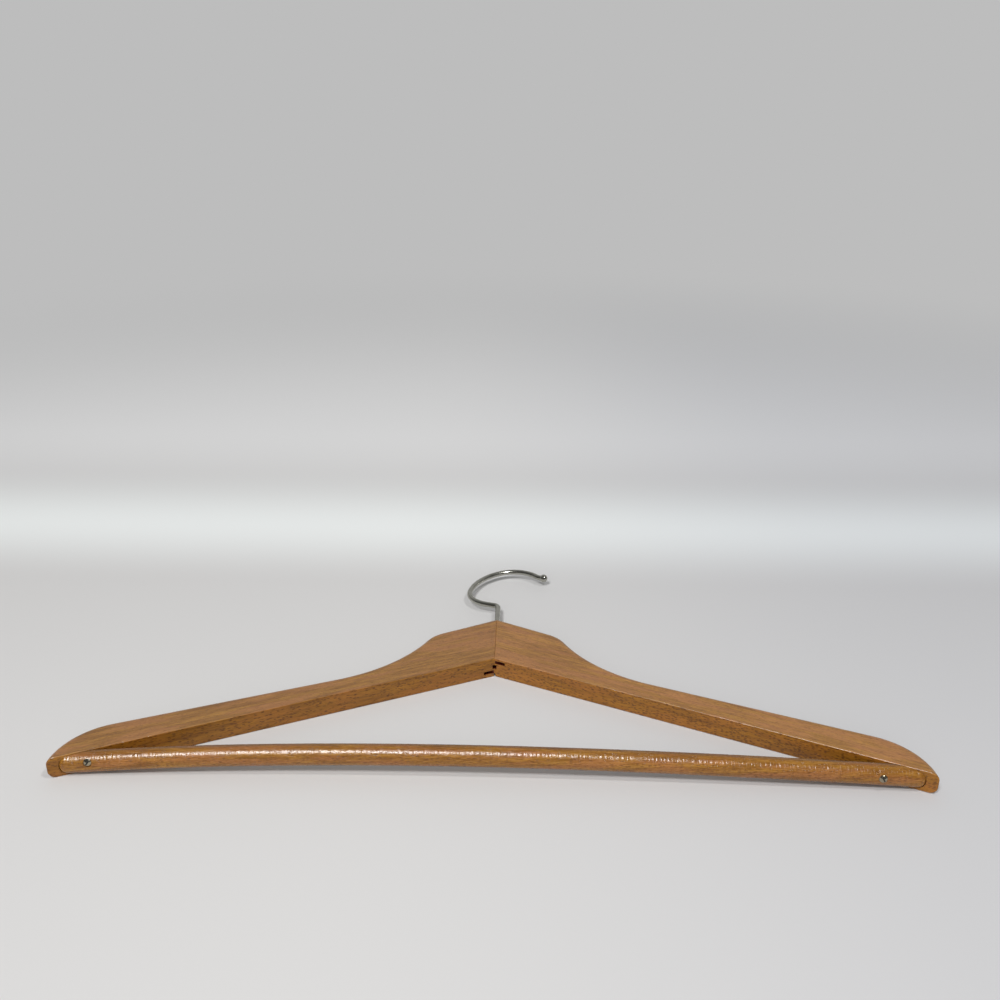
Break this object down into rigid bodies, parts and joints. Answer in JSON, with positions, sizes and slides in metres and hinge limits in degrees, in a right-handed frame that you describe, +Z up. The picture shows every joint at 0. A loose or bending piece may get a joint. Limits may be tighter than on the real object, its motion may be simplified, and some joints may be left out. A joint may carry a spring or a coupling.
{
  "type": "trouser hanger",
  "caption": "Flat wooden clothes hanger with sloping arms joined in a mitre, a round trouser bar screwed across its foot and a swivelling wire hook that ends in a ball.",
  "frame": {"origin": "centre of the bounding box in X and Y, at its lowest face in Z: the plane that the hanger lies on. X = 0 is the mitre and the hook's swivel axis.", "axes": "+X along the trouser bar to the right, +Y from the bar towards the hook, +Z up through the thickness, away from the face it lies on"},
  "size_m": [0.44, 0.2248, 0.016],
  "materials": {
    "arm_beech": "clear lacquered beech, satin",
    "bar_beech": "clear lacquered beech dowel, satin",
    "screw_steel": "plated steel, dulled",
    "hook_steel": "nickel plated wire, satin"
  },
  "bodies": {
    "body": {"arm_left": "arm_beech", "arm_right": "arm_beech", "trouser_bar": "bar_beech", "bar_screw_left": "screw_steel", "bar_screw_right": "screw_steel"},
    "hook_body": {"hook": "hook_steel"}
  },
  "joints": [
    {"name": "hook_swivel", "type": "hinge", "parent": "body", "child": "hook_body", "pos_m": [0, 0.0156, 0.006], "axis": [0, 1, 0], "continuous": true}
  ]
}
